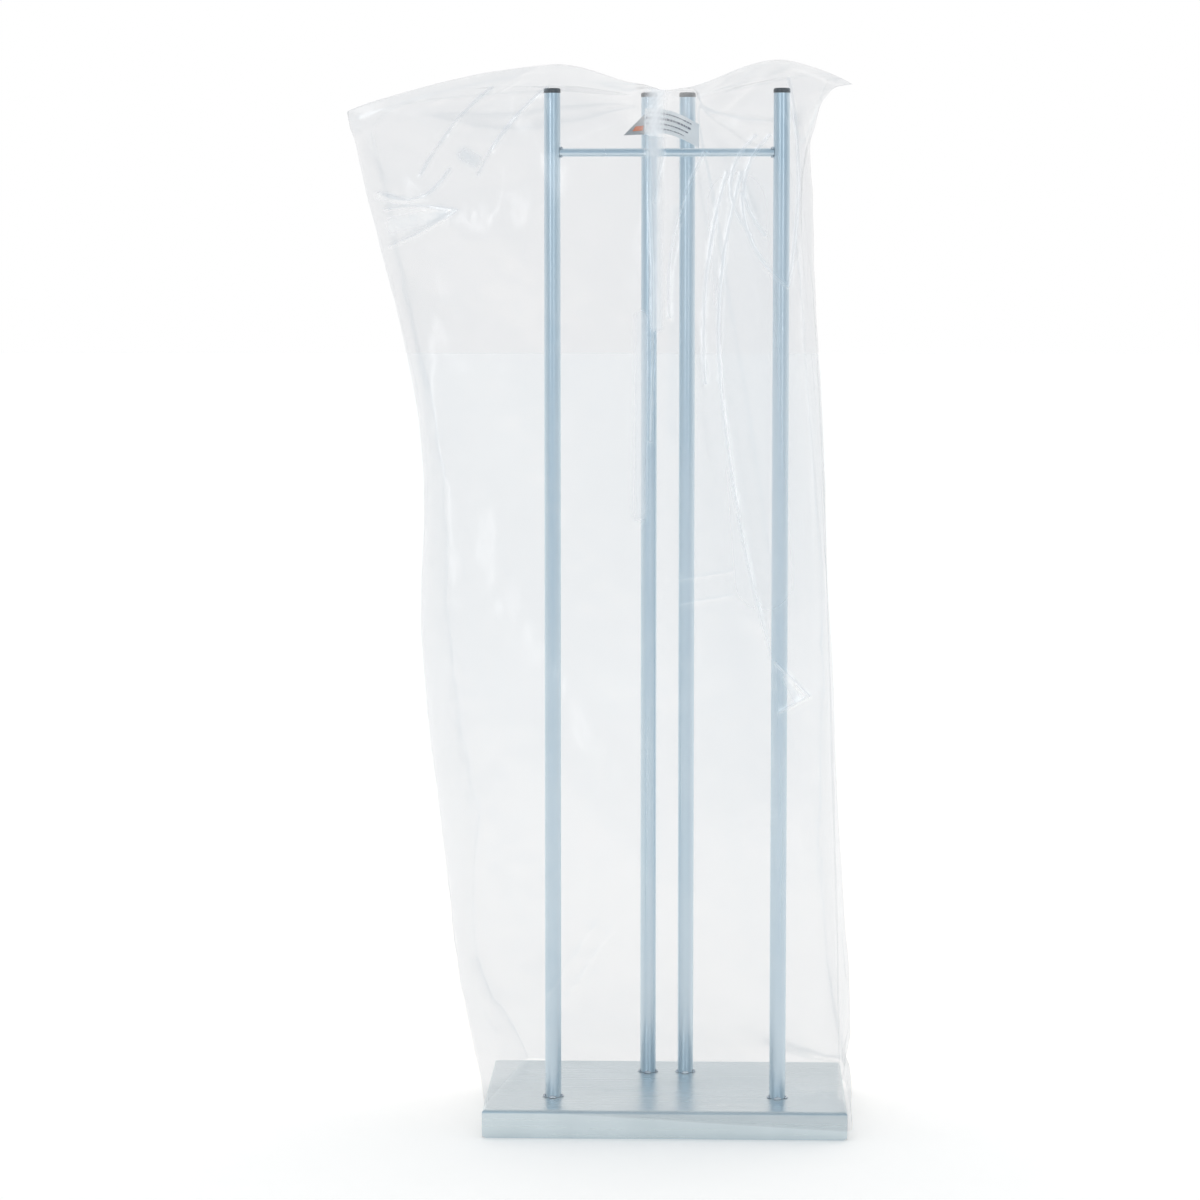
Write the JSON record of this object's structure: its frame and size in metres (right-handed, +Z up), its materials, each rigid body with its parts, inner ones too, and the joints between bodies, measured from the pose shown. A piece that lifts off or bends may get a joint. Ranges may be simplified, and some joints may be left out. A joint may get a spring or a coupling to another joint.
{
  "type": "plastic bag holder",
  "caption": "Freestanding holder for long plastic bags: folded sheet tray, tall round posts joined by a cross bar, push-in caps, and a clear sealed bag hung over it all.",
  "frame": {"origin": "centre of the base tray's top face, where the four posts stand; the floor is 35 mm below it", "axes": "+Z up along the posts, +X to the right and +Y to the back, seen by someone who stands at the side with the cross bar"},
  "size_m": [0.635, 0.298, 1.3229],
  "materials": {
    "sheet_steel": "satin",
    "zinc_tube": "satin",
    "weld": "gloss",
    "cap_plastic": "matte",
    "clear_film": "gloss",
    "label_paper": "matte"
  },
  "bodies": {
    "stand": {"bar_weld_left_lower": "weld", "bar_weld_left_upper": "weld", "bar_weld_right_lower": "weld", "bar_weld_right_upper": "weld", "base_tray": "sheet_steel", "cap_back_left": "cap_plastic", "cap_back_right": "cap_plastic", "cap_front_left": "cap_plastic", "cap_front_right": "cap_plastic", "cross_bar": "zinc_tube", "foot_weld_back_left_front": "weld", "foot_weld_back_left_left": "weld", "foot_weld_back_left_rear": "weld", "foot_weld_back_left_right": "weld", "foot_weld_back_right_front": "weld", "foot_weld_back_right_left": "weld", "foot_weld_back_right_rear": "weld", "foot_weld_back_right_right": "weld", "foot_weld_front_left_front": "weld", "foot_weld_front_left_left": "weld", "foot_weld_front_left_rear": "weld", "foot_weld_front_left_right": "weld", "foot_weld_front_right_front": "weld", "foot_weld_front_right_left": "weld", "foot_weld_front_right_rear": "weld", "foot_weld_front_right_right": "weld", "post_back_left": "zinc_tube", "post_back_right": "zinc_tube", "post_front_left": "zinc_tube", "post_front_right": "zinc_tube"},
    "bag": {"clear_bag": "clear_film", "bag_label": "label_paper"}
  },
  "joints": [
    {"name": "bag_lift", "type": "slide", "parent": "stand", "child": "bag", "axis": [0, 0, 1], "range_m": [0, 1.35]}
  ]
}
